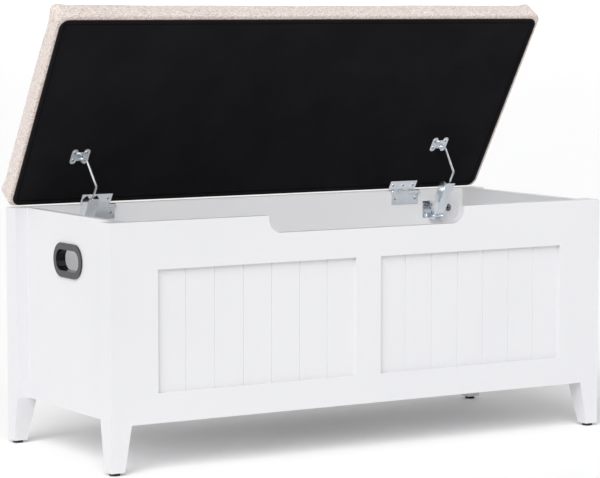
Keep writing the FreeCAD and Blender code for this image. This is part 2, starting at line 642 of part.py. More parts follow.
def bent_rod(name, x):
    """A wire from the plunger up the channel, bent over to the eye in the lid's bracket."""
    lean, lift = math.radians(value("stay_lean")), math.radians(value("openangle"))
    middle = value(x)
    along = FreeCAD.Vector(0, -math.sin(lean), math.cos(lean))
    pivot = FreeCAD.Vector(middle, value("stay_back"), value("stay_height"))
    closed_y, closed_z = -value("eye_reach"), value("underside - eye_drop")
    eye_y = value("axis_back") + closed_y * math.cos(lift) + closed_z * math.sin(lift)
    eye_z = value("axis_height") - closed_y * math.sin(lift) + closed_z * math.cos(lift)
    bracket = middle - value("eye_shift")
    inside_bend, radius = value("wire_radius") * 3.5, value("wire_radius")
    route = [pivot + along * value("plunger_top + wire_gap"), pivot + along * value("wire_bend"),
             FreeCAD.Vector(bracket + value("channel_inner"), eye_y, eye_z),
             FreeCAD.Vector(bracket - value("lug_radius"), eye_y, eye_z)]
    edges, last = [], route[0]
    for before, corner, after in zip(route, route[1:], route[2:]):
        into, out = (before - corner).normalize(), (after - corner).normalize()
        half = into.getAngle(out) / 2
        tangent = inside_bend / math.tan(half)
        start, end = corner + into * tangent, corner + out * tangent
        centre = corner + (into + out).normalize() * (inside_bend / math.sin(half))
        middle_of_arc = centre + (corner - centre).normalize() * inside_bend
        edges += [Part.LineSegment(last, start).toShape(), Part.Arc(start, middle_of_arc, end).toShape()]
        last = end
    edges.append(Part.LineSegment(last, route[-1]).toShape())
    path = Part.Wire(edges)
    profile = Part.Wire(Part.Circle(route[0], along, radius).toShape())
    rod = path.makePipeShell([profile], True, False)
    expected = math.pi * radius ** 2 * path.Length
    assert abs(rod.Volume / expected - 1) < 0.02, "the bent wire's volume is wrong"
    feature = doc.addObject("Part::Feature", name)
    feature.Shape = rod
    return feature


def spring(name, x):
    """A compression spring between the channel's shelf and the plunger."""
    low, high = value("shelf_level + channel_gauge"), value("plunger_place")
    coil_radius, wire = value("spring_radius"), value("spring_wire")
    rise = high - low - 2.5 * wire
    foot = FreeCAD.Vector(0, value("lug_radius") / 2, low + 1.25 * wire)
    helix = Part.makeHelix(rise / value("spring_turns"), rise, coil_radius)
    helix.Placement.Base = foot
    start = foot + FreeCAD.Vector(coil_radius, 0, 0)
    profile = Part.Wire(Part.Circle(start, FreeCAD.Vector(0, 1, 0), wire).toShape())
    coil = Part.Wire(helix.Edges).makePipeShell([profile], True, True)
    feature = doc.addObject("Part::Feature", name)
    feature.Shape = coil
    return in_channel(feature, x)


def lid_bracket(name, middle):
    """Two oval ears joined by a bridge, with a lug hanging down to the wire's eye."""
    plate = "underside - lug_gauge"
    parts_of_bracket = [box(name + "_bridge", "2 * ear_spread", "ear_width * 3 / 2", "lug_gauge",
                            middle + " - ear_spread", "-eye_reach - ear_width * 3 / 4", plate),
                        box(name + "_lug", "lug_gauge", "2 * lug_radius", "eye_drop",
                            middle + " - lug_gauge / 2", "-eye_reach - lug_radius", "underside - eye_drop"),
                        cylinder(name + "_lug_end", "lug_radius", "lug_gauge", middle + " - lug_gauge / 2",
                                 "-eye_reach", "underside - eye_drop", "X")]
    straight = "(ear_length - ear_width)"
    for ear in "-+":
        x = "%s %s ear_spread" % (middle, ear)
        parts_of_bracket.append(box(name + "_ear", "ear_width", straight, "lug_gauge",
                                    x + " - ear_width / 2", "-eye_reach - %s / 2" % straight, plate))
        for end in "-+":
            parts_of_bracket.append(cylinder(name + "_ear_end", "ear_width / 2", "lug_gauge", x,
                                             "-eye_reach %s %s / 2" % (end, straight), plate))
    bore = cylinder(name + "_bore", "wire_radius + running_play", "4 * lug_gauge",
                    middle + " - 2 * lug_gauge", "-eye_reach", "underside - eye_drop", "X")
    return opened(cut(name, fuse(name + "_blank", parts_of_bracket),
                      group(name + "_cutters", [bore] + bracket_screws)))


base_screws = []
for side, x in (("left", "left_stay"), ("right", "right_stay")):
    screws = [screw("base_screw_" + side, x + shift, "back_face - lug_gauge",
                    "stay_height - lug_radius / 2 + base_height * %s" % row, "Y")
              for shift in (" + channel_inner - base_width * 5 / 6", " - rivet_radius")
              for row in ("1 / 4", "3 / 4")]
    base_screws += screws
    rivet = keep("stay_rivet_" + side, stay_rivet("stay_rivet_" + side, x))
    keep("stay_base_" + side, stay_base("stay_base_" + side, x, rivet, screws))
    keep("stay_channel_" + side, stay_channel("stay_channel_" + side, x))
    plunger = prism("stay_plunger_" + side, "YZ_Plane",
                    (("plunger_back", "plunger_place"), ("plunger_front", "plunger_place"),
                     ("plunger_front", "plunger_top"), ("plunger_back", "plunger_top")),
                    "2 * (channel_inner - plunger_play)")
    keep("stay_plunger_" + side, in_channel(plunger, x))
    keep("stay_spring_" + side, spring("stay_spring_" + side, x))
    keep("stay_wire_" + side, bent_rod("stay_wire_" + side, x))
    keep("stay_lid_bracket_" + side, lid_bracket("stay_lid_bracket_" + side, x + " - eye_shift"))
keep("stay_base_screws", group("stay_base_screws", base_screws))


# ---------------------------------------------------------------- back panel
back_blank = box("back_blank", "2 * inner_half", "panel_thickness", "panel_height",
                 "-inner_half", "back_face", "floor_gap")
keep("back_panel", cut("back_panel", back_blank,
                       group("back_cutters", [hardware] + body_hinge_screws + base_screws)))

# ---------------------------------------------------------------- checks and files
doc.recompute()
faults = [feature.Name for feature in doc.Objects if {"Invalid", "Error"} & set(feature.State)]
assert not faults, "failed features: %s" % faults
os.makedirs("parts", exist_ok=True)
for piece in pieces:
    shape = piece.Shape
    assert not shape.isNull() and shape.isValid() and shape.Solids, "bad shape: " + piece.Label
    assert min(solid.Volume for solid in shape.Solids) > 0, "empty solid: " + piece.Label
for piece in pieces:
    piece.Shape.exportStep(os.path.join("parts", piece.Label + ".step"))
print(len(pieces), "sub-parts written")
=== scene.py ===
"""Looks for the storage bench: white painted body, padded linen lid, zinc hinges and lid stays."""

import json
import math

import bpy
import bmesh
from mathutils import Matrix, Vector, noise


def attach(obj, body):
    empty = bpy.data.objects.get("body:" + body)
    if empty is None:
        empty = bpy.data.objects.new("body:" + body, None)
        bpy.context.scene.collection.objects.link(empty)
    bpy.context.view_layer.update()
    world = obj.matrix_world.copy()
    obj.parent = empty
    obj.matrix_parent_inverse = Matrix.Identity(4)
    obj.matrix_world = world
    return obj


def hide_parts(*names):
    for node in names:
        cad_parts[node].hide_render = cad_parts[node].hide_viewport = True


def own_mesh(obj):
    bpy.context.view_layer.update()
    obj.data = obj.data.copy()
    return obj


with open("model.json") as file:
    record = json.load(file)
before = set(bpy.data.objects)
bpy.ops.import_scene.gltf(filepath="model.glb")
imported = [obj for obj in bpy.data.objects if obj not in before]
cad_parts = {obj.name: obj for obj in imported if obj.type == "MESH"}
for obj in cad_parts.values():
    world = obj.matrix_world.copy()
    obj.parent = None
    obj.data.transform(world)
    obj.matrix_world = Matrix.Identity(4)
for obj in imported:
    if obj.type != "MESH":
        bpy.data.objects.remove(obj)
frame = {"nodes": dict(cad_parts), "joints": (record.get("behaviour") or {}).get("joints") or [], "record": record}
NODES = frame["nodes"]
RECORD = frame["record"]
JOINTS = {joint["name"]: joint for joint in frame["joints"]}
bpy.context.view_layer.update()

MM = 0.001
SIDES = ("left", "right")

# The dust cover: width of the turned hem, half the width of the painted shade line where the hem ends, the width
# of the lighter brown band painted along the outer edge, round corners.
HEM_WIDTH, HEM_SHADE_LINE, FOLD_WIDTH, CLOTH_CORNER = 9 * MM, 0.7 * MM, 1.6 * MM, 17 * MM


def linear_share(level):
    """One display level, 0 to 255, by the sRGB curve, which is straight up to level 10."""
    return ((level / 255 + 0.055) / 1.055) ** 2.4 if level > 10 else level / 255 / 12.92


def linear(*levels):
    """A display colour as the linear one that shaders take."""
    return tuple(linear_share(level) for level in levels) + (1,)


def on_circle(radius, step, count, level):
    """One of the count points of a level circle about Z."""
    turn = math.tau * step / count
    return Vector((radius * math.cos(turn), radius * math.sin(turn), level))


def span(points):
    low = Vector([min(p[axis] for p in points) for axis in range(3)])
    high = Vector([max(p[axis] for p in points) for axis in range(3)])
    return low, high


# The open lid: closed, its pieces lie along the row's axes, measured from the hinge.
HINGE = JOINTS["lid_hinge"]
AXIS = Vector(HINGE["pos_m"])
OPEN = Matrix.Translation(AXIS) @ Matrix.Rotation(-math.radians(max(HINGE["range_deg"])), 4, "X")
SHUT = OPEN.inverted()


def shut_box(node):
    """A lid node's lowest and highest corners with the lid closed, from the hinge axis."""
    return span([SHUT @ vertex.co for vertex in NODES[node].data.vertices])


# ------------------------------------------------------------------ camera, floor and light
AIM = Vector((-0.034, -0.027, 0.356))
AZIMUTH, ELEVATION, DISTANCE = math.radians(31.28), math.radians(5.25), 4.5
SENSOR, LENS = 36, 151.92


def add_camera():
    """Looks along +Y turned to the right by the azimuth, down by the elevation."""
    data = bpy.data.cameras.new("camera")
    data.sensor_width = SENSOR
    data.lens = LENS
    data.clip_end = 2000
    camera = bpy.data.objects.new("camera", data)
    ahead = Vector((math.sin(AZIMUTH) * math.cos(ELEVATION), math.cos(AZIMUTH) * math.cos(ELEVATION),
                    -math.sin(ELEVATION)))
    camera.location = AIM - ahead * DISTANCE
    camera.rotation_euler = (math.pi / 2 - ELEVATION, 0, -AZIMUTH)
    bpy.context.collection.objects.link(camera)
    bpy.context.scene.camera = camera


def add_sun(name, source, strength, spread):
    """A distant soft light that shines from a point towards the origin."""
    data = bpy.data.lights.new(name, "SUN")
    data.energy = strength
    data.angle = math.radians(spread)
    light = bpy.data.objects.new(name, data)
    light.rotation_euler = Vector(source).to_track_quat("Z", "Y").to_euler()
    bpy.context.collection.objects.link(light)


def add_world(strength):
    world = bpy.data.worlds.new("studio")
    world.use_nodes = True
    background = world.node_tree.nodes["Background"]
    background.inputs["Color"].default_value = (1, 1, 1, 1)
    background.inputs["Strength"].default_value = strength
    bpy.context.scene.world = world


def add_floor():
    """A wide pale floor that sweeps up, far away, into a low wall all round."""
    around, flat, rise, bends = 96, 50, 12, 8
    quarter = [math.pi / 2 * step / bends for step in range(1, bends + 1)]
    rings = [(flat, 0)] + [(flat + rise * math.sin(turn), rise * (1 - math.cos(turn))) for turn in quarter]
    form = bmesh.new()
    loops = [[form.verts.new(on_circle(radius, step, around, level)) for step in range(around)]
             for radius, level in rings]
    form.faces.new(loops[0])
    for inner, outer in zip(loops, loops[1:]):
        for a, b, c, d in zip(inner, inner[1:] + inner[:1], outer[1:] + outer[:1], outer):
            form.faces.new((a, d, c, b))
    mesh = bpy.data.meshes.new("floor")
    form.to_mesh(mesh)
    form.free()
    for polygon in mesh.polygons:
        polygon.use_smooth = True
    floor = bpy.data.objects.new("floor", mesh)
    bpy.context.collection.objects.link(floor)
    finish = bpy.data.materials.new("floor_paper")
    finish.use_nodes = True
    shader = finish.node_tree.nodes["Principled BSDF"]
    shader.inputs["Base Color"].default_value = (0.96, 0.96, 0.96, 1)
    shader.inputs["Roughness"].default_value = 0.9
    shader.inputs["Specular IOR Level"].default_value = 0.1
    mesh.materials.append(finish)


add_camera()
add_floor()
add_world(0.49)
add_sun("key", (-1.0, -0.95, 1.15), 2.5, 50)
bpy.context.scene.view_settings.view_transform = "Standard"


# ------------------------------------------------------------------ materials
class Finish:
    """A node material being put together: a Principled shader and the nodes that feed it."""

    def __init__(self, name, **inputs):
        self.material = bpy.data.materials.new(name)
        self.material.use_nodes = True
        self.tree = self.material.node_tree
        self.shader = self.tree.nodes["Principled BSDF"]
        self.last_normal = None
        for title, number in inputs.items():
            self.shader.inputs[title.replace("_", " ")].default_value = number

    def feed(self, node, title, thing):
        socket = node.inputs[title]
        if isinstance(thing, bpy.types.NodeSocket):
            self.tree.links.new(thing, socket)
        else:
            socket.default_value = thing

    def node(self, kind, **inputs):
        made = self.tree.nodes.new("ShaderNode" + kind)
        for title, thing in inputs.items():
            self.feed(made, title.replace("_", " "), thing)
        return made

    def place(self, stretch=(1, 1, 1)):
        """Object coordinates, stretched."""
        mapping = self.node("Mapping", Scale=stretch)
        self.feed(mapping, "Vector", self.node("TexCoord").outputs["Object"])
        return mapping.outputs["Vector"]

    def cloud(self, scale, detail=3.0, stretch=(1, 1, 1), rough=0.5):
        made = self.node("TexNoise", Scale=scale, Detail=detail, Roughness=rough)
        self.feed(made, "Vector", self.place(stretch))
        return made.outputs["Fac"]

    def between(self, factor, low, high, start=0.3, end=0.7):
        """A number that runs from low to high as the factor goes from start to end."""
        made = self.node("MapRange")
        for title, number in zip(("From Min", "From Max", "To Min", "To Max"), (start, end, low, high)):
            made.inputs[title].default_value = number
        self.feed(made, "Value", factor)
        return made.outputs["Result"]

    def tint(self, factor, first, second):
        made = self.tree.nodes.new("ShaderNodeMix")
        made.data_type = "RGBA"
        self.feed(made, 0, factor)
        for index, thing in ((6, first), (7, second)):
            self.feed(made, index, thing)
        return made.outputs[2]

    def sums(self, operation, *things):
        made = self.tree.nodes.new("ShaderNodeMath")
        made.operation = operation
        for index, thing in enumerate(things):
            self.feed(made, index, thing)
        return made.outputs["Value"]

    def bump(self, height, strength, distance):
        made = self.node("Bump", Strength=strength, Distance=distance)
        self.feed(made, "Height", height)
        if self.last_normal:
            self.tree.links.new(self.last_normal, made.inputs["Normal"])
        self.last_normal = made.outputs["Normal"]
        self.feed(self.shader, "Normal", self.last_normal)

    def set(self, title, thing):
        self.feed(self.shader, title, thing)


def white_paint():
    """Satin lacquer: a faint roller texture, and patches a shade warmer or cooler."""
    finish = Finish("white_paint", Coat_Weight=0.12, Coat_Roughness=0.25)
    patches = finish.between(finish.cloud(3.0, 2), 0, 1)
    finish.set("Base Color", finish.tint(patches, linear(221, 221, 223), linear(218, 218, 221)))
    finish.set("Roughness", finish.between(finish.cloud(40, 3), 0.36, 0.46))
    finish.bump(finish.cloud(420, 3), 0.05, 0.0004)
    return finish.material


# Painted light: a whiter white than the outside paint, which lifts the inside of the box out of the shade under
# the open lid; that the back panel has another finish is not known.
def inside_painted_fill():
    finish = Finish("inside_painted_fill")
    finish.set("Base Color", finish.tint(finish.cloud(6, 3), linear(246, 246, 247), linear(242, 242, 244)))
    finish.set("Roughness", finish.between(finish.cloud(60, 3), 0.42, 0.55))
    finish.bump(finish.cloud(600, 2), 0.04, 0.0003)
    return finish.material


def raw_wood():
    finish = Finish("raw_wood", Roughness=0.7)
    grain = finish.cloud(30, 6, (1, 12, 12), 0.6)
    rings = finish.between(grain, 0, 1)
    finish.set("Base Color", finish.tint(rings, linear(196, 160, 116), linear(150, 112, 74)))
    finish.bump(grain, 0.2, 0.0004)
    return finish.material


def zinc(name, light, dark):
    """Bright zinc plate: bluish, a little cloudy, with faint drawing marks."""
    finish = Finish(name, Metallic=1.0)
    blotch = finish.between(finish.cloud(60, 3), 0, 1)
    finish.set("Base Color", finish.tint(blotch, light, dark))
    finish.set("Roughness", finish.between(finish.cloud(300, 3), 0.14, 0.22))
    finish.bump(finish.cloud(900, 2, (1, 6, 6)), 0.05, 0.0001)
    return finish.material


def moulded(name, shade, rough, coat):
    finish = Finish(name, Coat_Weight=coat, Coat_Roughness=0.08)
    finish.set("Base Color", finish.tint(finish.cloud(60, 2), linear(shade, shade, shade + 1),
                                         linear(shade + 5, shade + 5, shade + 7)))
    finish.set("Roughness", finish.between(finish.cloud(150, 3), rough * 0.8, rough * 1.3))
    finish.bump(finish.cloud(1200, 2), 0.04, 0.0002)
    return finish.material


def linen():
    """A plain weave of uneven beige yarns: slubs run both ways, and the shade drifts from yarn to yarn. The raised
    slubs are painted paler, partly yarn tone and partly painted highlight, and the gaps between the yarns are
    painted darker as painted shade.
    """
    finish = Finish("linen", Roughness=0.92, Sheen_Weight=0.25, Sheen_Roughness=0.6)
    finish.shader.inputs["Specular IOR Level"].default_value = 0.2
    along_x = finish.cloud(1, 2, (130, 760, 760), 0.55)
    along_y = finish.cloud(1, 2, (760, 130, 760), 0.55)
    along_z = finish.cloud(1, 2, (760, 760, 130), 0.55)
    slubs = finish.sums("MAXIMUM", finish.sums("MAXIMUM", along_x, along_y), along_z)
    # The raised slubs painted paler: partly the yarn's tone, partly painted highlight.
    pale = finish.between(slubs, 0, 1, 0.54, 0.68)
    # Painted shade: the low places between the slubs are painted a dark brown.
    gap_shade = finish.sums("MINIMUM", finish.sums("MINIMUM", along_x, along_y), along_z)
    dark = finish.between(gap_shade, 1, 0, 0.3, 0.43)
    drift = finish.between(finish.cloud(14, 4, (1, 1, 1), 0.6), 0, 1, 0.35, 0.65)
    ground = finish.tint(drift, linear(211, 198, 192), linear(204, 193, 188))
    slub_tone_and_highlight = finish.tint(pale, ground, linear(236, 228, 222))
    finish.set("Base Color", finish.tint(dark, slub_tone_and_highlight, linear(172, 150, 140)))
    finish.bump(slubs, 0.55, 0.0006)
    threads = finish.node("TexWave", Scale=1, Distortion=1.5, Detail=1)
    threads.bands_direction = "DIAGONAL"
    finish.feed(threads, "Vector", finish.place((240, 240, 240)))
    finish.bump(threads.outputs["Fac"], 0.12, 0.0003)
    return finish.material


def black_cloth(low, high):
    """Spun-bonded cloth: matte black and fibrous, with a painted shade line where the hem steps down and a lighter
    brown band painted along the outer edge.
    """
    finish = Finish("black_cloth", Roughness=1.0)
    finish.shader.inputs["Specular IOR Level"].default_value = 0.02
    fibre = finish.cloud(1, 4, (420, 900, 900), 0.7)
    mottled = finish.between(finish.cloud(9, 4, (1, 1, 1), 0.6), 0, 1)
    ground = finish.tint(mottled, linear(24, 24, 26), linear(30, 30, 32))
    plain = finish.tint(finish.between(fibre, 0, 1, 0.5, 0.8), ground, linear(36, 36, 38))
    apart = finish.node("SeparateXYZ", Vector=finish.place())
    middle, half = (low + high) / 2, (high - low) / 2
    inside = []
    for axis in (0, 1):
        offset = finish.sums("ABSOLUTE", finish.sums("SUBTRACT", apart.outputs[axis], middle[axis]))
        inside.append(finish.sums("SUBTRACT", half[axis], offset))
    edge = finish.sums("MINIMUM", *inside)
    # Painted shade: a near-black line along the step where the turned hem ends.
    hem_shaded = finish.tint(finish.sums("COMPARE", edge, HEM_WIDTH, HEM_SHADE_LINE), plain, linear(8, 8, 9))
    # The outermost 1.6 mm of the cloth is painted a lighter brown.
    fold = finish.sums("LESS_THAN", edge, FOLD_WIDTH)
    finish.set("Base Color", finish.tint(fold, hem_shaded, linear(52, 46, 41)))
    finish.bump(fibre, 0.35, 0.0003)
    return finish.material


def foam():
    finish = Finish("foam", Roughness=0.95)
    cells = finish.cloud(500, 3)
    finish.set("Base Color", finish.tint(cells, linear(236, 228, 200), linear(214, 204, 172)))
    finish.bump(cells, 0.6, 0.0008)
    return finish.material


WHITE, INSIDE_PAINTED_FILL, WOOD, FOAM = white_paint(), inside_painted_fill(), raw_wood(), foam()
ZINC = zinc("zinc", linear(246, 250, 253), linear(230, 237, 244))
DIE_CAST = zinc("die_cast", linear(168, 170, 174), linear(140, 142, 147))
# Painted shade: a dark grey zinc that darkens the cross recesses as the shadow in them would.
RECESS_PAINTED_SHADE = zinc("zinc_recess_painted_shade", linear(74, 77, 82), linear(46, 48, 52))
WIRE = zinc("spring_steel", linear(250, 250, 252), linear(232, 235, 240))
GLOSS = moulded("black_gloss", 10, 0.22, 0.25)
GLIDE = moulded("black_glide", 20, 0.5, 0)
GREY = moulded("grey_plastic", 70, 0.45, 0)
LINEN, CLOTH = linen(), black_cloth(*shut_box("dust_cover"))
SLOT_FINISH = {"white_paint": WHITE, "white_paint_inside": INSIDE_PAINTED_FILL, "black_glide": GLIDE, "black_gloss": GLOSS,
               "raw_wood": WOOD, "spring_steel": WIRE, "grey_plastic": GREY, "zinc_steel": ZINC, "foam": FOAM,
               "linen": LINEN, "black_cloth": CLOTH}
NODE_SLOT = {entry["node"]: entry["material_slot"] for entry in RECORD["subparts"]}

# Radius of the eased edges, by slot.
EDGES = {"white_paint": 0.9 * MM, "black_gloss": 0.8 * MM, "zinc_steel": 0.25 * MM, "black_glide": 0.8 * MM,
         "spring_steel": 0.2 * MM, "grey_plastic": 0.3 * MM}


def ease(item, radius):
    """Rounds a hard-edged piece's edges and shades it smoothly between them."""
    bevel = item.modifiers.new("eased", "BEVEL")
    bevel.width = radius
    bevel.segments = 2
    bevel.limit_method = "ANGLE"
    bevel.angle_limit = math.radians(40)
    bevel.harden_normals = True
    bevel.use_clamp_overlap = True


def dress_nodes():
    """Gives every CAD node its finish, the back panel a whiter paint that paints in fill light, and eases its
    edges by the real radius.
    """
    for name, node in NODES.items():
        slot = NODE_SLOT[name]
        node.data.materials.clear()
        node.data.materials.append(INSIDE_PAINTED_FILL if name == "back_panel" else SLOT_FINISH[slot])
        if slot in EDGES and not name.startswith(("cam_", "hinge_", "stay_")):
            ease(node, EDGES[slot])


dress_nodes()


# ------------------------------------------------------------------ helpers for new pieces
def new_piece(name, form, finish, smooth=True):
    """Turns a bmesh into an object with one finish."""
    mesh = bpy.data.meshes.new(name)
    form.to_mesh(mesh)
    form.free()
    mesh.materials.append(finish)
    for polygon in mesh.polygons:
        polygon.use_smooth = smooth
    item = bpy.data.objects.new(name, mesh)
    bpy.context.collection.objects.link(item)
    return item


def baked(item):
    """A copy of the item's mesh with its modifiers applied."""
    bpy.context.view_layer.update()
    seen = item.evaluated_get(bpy.context.evaluated_depsgraph_get())
    return bpy.data.meshes.new_from_object(seen)


def apply_all(item):
    """Replaces the item's mesh by what its modifiers make of it."""
    made = baked(item)
    item.modifiers.clear()
    item.data = made


def blocks(node):
    """The separate solids of a CAD node, each as a list of its corner points."""
    mesh = NODES[node].data
    form = bmesh.new()
    form.from_mesh(mesh)
    bmesh.ops.remove_doubles(form, verts=form.verts, dist=1e-6)
    seen, found = set(), []
    for start in form.verts:
        if start in seen:
            continue
        seen.add(start)
        group, queue = [], [start]
        while queue:
            vertex = queue.pop()
            group.append(vertex.co.copy())
            for edge in vertex.link_edges:
                other = edge.other_vert(vertex)
                if other not in seen:
                    seen.add(other)
                    queue.append(other)
        found.append(group)
    form.free()
    return found


# ------------------------------------------------------------------ the padded cover
# Cloth lower than the first height is held, above the second it moves freely.
PIN_HEIGHT, FREE_HEIGHT = 11 * MM, 17 * MM
END_FULLNESS, FRONT_FULLNESS, REAR_INSET, SHELL_DROP = 2.5 * MM, 5.5 * MM, 0.2 * MM, 0.5 * MM
CORNER, CROWN, LOWER_EDGE = 14 * MM, 11 * MM, 1.5 * MM
VOXEL = 5 * MM
PRESSURE, STEPS = 10.0, 20
TOP_CAP, SIDE_CAP, REAR_CAP, IN_CAP = 12 * MM, 5.5 * MM, 1.5 * MM, 0.4 * MM
REAR_BAND = 30 * MM
PULL_BAND, PULL_BOW, GATHER_REACH = 30 * MM, 0.5 * MM, 34 * MM


def round_edges(form, chosen, radius, segments):
    bmesh.ops.bevel(form, geom=chosen, offset=radius, segments=segments, affect="EDGES", profile=0.5)


def pad_shell(low, high):
    """A box over the lid with round corners, a round crown and a small radius round its flat underside."""
    form = bmesh.new()
    bmesh.ops.create_cube(form, size=1)
    size, middle = high - low, (high + low) / 2
    for vertex in form.verts:
        vertex.co = Vector([middle[axis] + vertex.co[axis] * size[axis] for axis in range(3)])
    upright = [e for e in form.edges if abs(e.verts[0].co.z - e.verts[1].co.z) > size.z / 2]
    round_edges(form, upright, CORNER, 6)
    for level, radius in ((high.z, CROWN), (low.z, LOWER_EDGE)):
        rim = [e for e in form.edges if all(abs(v.co.z - level) < 1e-6 for v in e.verts)]
        round_edges(form, rim, radius, 5)
    return form


def within(share):
    """A share kept between 0 and 1."""
    return min(1, max(0, share))


def smooth_share(number, start, end):
    """How far a number is from start to end, 0 to 1, with a soft start and stop."""
    share = within((number - start) / (end - start))
    return share * share * (3 - 2 * share)


def eased_to(amount, cap):
    """An amount that nears its cap smoothly and never passes it."""
    return cap * math.tanh(amount / cap)


def inflate(item, floor_level):
    """Blows the shell up as cloth, held flat and still where it wraps the board."""
    rest = [vertex.co.copy() for vertex in item.data.vertices]
    held = item.vertex_groups.new(name="held")
    for index, point in enumerate(rest):
        held.add([index], 1 - smooth_share(point.z - floor_level, PIN_HEIGHT, FREE_HEIGHT), "REPLACE")
    low, high = span(rest)
    middle = (low + high) / 2
    cloth = item.modifiers.new("cloth", "CLOTH")
    cloth.settings.vertex_group_mass = "held"
    cloth.settings.use_pressure = True
    cloth.settings.uniform_pressure_force = PRESSURE
    cloth.settings.quality = 4
    cloth.settings.mass = 0.3
    cloth.settings.effector_weights.gravity = 0
    cloth.collision_settings.use_collision = False
    cloth.point_cache.frame_start = 1
    cloth.point_cache.frame_end = STEPS
    for step in range(1, STEPS + 1):
        bpy.context.scene.frame_set(step)
    blown = baked(item)
    item.modifiers.clear()
    for index, point in enumerate(rest):
        move = blown.vertices[index].co - point
        flat = Vector((move.x, move.y, 0))
        inward = flat.dot(Vector((point.x - middle.x, point.y - middle.y, 0))) < 0
        cap = IN_CAP if inward else SIDE_CAP
        if flat.length > 0:
            flat *= eased_to(flat.length, cap) / flat.length
        if point.y > high.y - REAR_BAND:
            flat.y = min(flat.y, REAR_CAP)
        rise = eased_to(move.z, TOP_CAP)
        item.data.vertices[index].co = point + Vector((flat.x, flat.y, rise))
    bpy.data.meshes.remove(blown)
    bpy.context.scene.frame_set(1)


def pull(point, low, high):
    """What the upholsterer's hands did: sides drawn in between the corners, and soft gathers low down."""
    across = (point.x - low.x) / (high.x - low.x)
    deep = (point.y - low.y) / (high.y - low.y)
    height = (point.z - low.z) / (high.z - low.z)
    waist = math.sin(math.pi * within(height))
    inward = Vector((0, 0, 0))
    near_end = min(point.x - low.x, high.x - point.x)
    near_side = min(point.y - low.y, high.y - point.y)
    bow = PULL_BOW * waist
    middle = (low + high) / 2
    if near_end < PULL_BAND:
        inward.x += math.copysign(bow * math.sin(math.pi * within(deep)), middle.x - point.x)
    if near_side < PULL_BAND:
        inward.y += math.copysign(bow * math.sin(math.pi * within(across)), middle.y - point.y)
    spot = Vector((point.x * 9, point.y * 9, point.z * 22))
    ripple = noise.noise(spot) * 0.9 * MM + noise.noise(spot * 2.7) * 0.35 * MM
    near_hem = 1 - within(height * 2.2)
    low_gather = noise.noise(Vector((point.x * 60, point.y * 60, 3))) * 0.5 * MM * near_hem
    corner = max(0.0, 1 - math.hypot(near_end, near_side) / GATHER_REACH)
    fan = math.sin(math.atan2(near_side, near_end + 1e-9) * 14)
    pleat = fan * 0.8 * MM * corner * (1 - 0.6 * height)
    return inward, (ripple + low_gather + pleat) * smooth_share(height, 0.04, 0.2)


def make_upholstery():
    low, high = shut_box("seat_cover")
    start_low = low - Vector((END_FULLNESS, FRONT_FULLNESS, 0))
    start_high = high + Vector((END_FULLNESS, -REAR_INSET, -SHELL_DROP))
    item = new_piece("upholstery", pad_shell(start_low, start_high), LINEN)
    remesh = item.modifiers.new("voxels", "REMESH")
    remesh.mode = "VOXEL"
    remesh.voxel_size = VOXEL
    apply_all(item)
    inflate(item, low.z)
    mesh = item.data
    mesh.update()
    normals = [vertex.normal.copy() for vertex in mesh.vertices]
    for vertex, normal in zip(mesh.vertices, normals):
        inward, lift = pull(vertex.co, low, high)
        vertex.co += inward + normal * lift
        vertex.co.z = max(vertex.co.z, low.z)
    for polygon in mesh.polygons:
        polygon.use_smooth = True
    rounder = item.modifiers.new("rounder", "SUBSURF")
    rounder.levels = rounder.render_levels = 1
    apply_all(item)
    item.matrix_world = OPEN
    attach(item, "lid")
    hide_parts("seat_cover", "seat_foam")


make_upholstery()


# ------------------------------------------------------------------ the dust cover
HEM_RISE = 0.45 * MM
CELL = 7 * MM


def round_rows(low, high, radius, cell):
    """Levels along Y, closer together in the round corners, each with its half width."""
    count = int((high.y - low.y - 2 * radius) / cell)
    turns = 7
    rows = []
    for step in range(turns):
        angle = math.pi / 2 * step / turns
        rows.append((low.y + radius * (1 - math.cos(angle)), radius * (1 - math.sin(angle))))
    rows += [(low.y + radius + (high.y - low.y - 2 * radius) * step / count, 0) for step in range(count + 1)]
    rows += [(low.y + high.y - y, inset) for y, inset in reversed(rows[:turns])]
    return rows


def edge_distance(point, low, high, radius):
    """How far a point of a rounded rectangle is from its outline."""
    middle, half = (low + high) / 2, (high - low) / 2
    across = abs(point.x - middle.x) - (half.x - radius)
    deep = abs(point.y - middle.y) - (half.y - radius)
    outside = math.hypot(max(across, 0), max(deep, 0))
    return radius - outside - min(max(across, deep), 0)


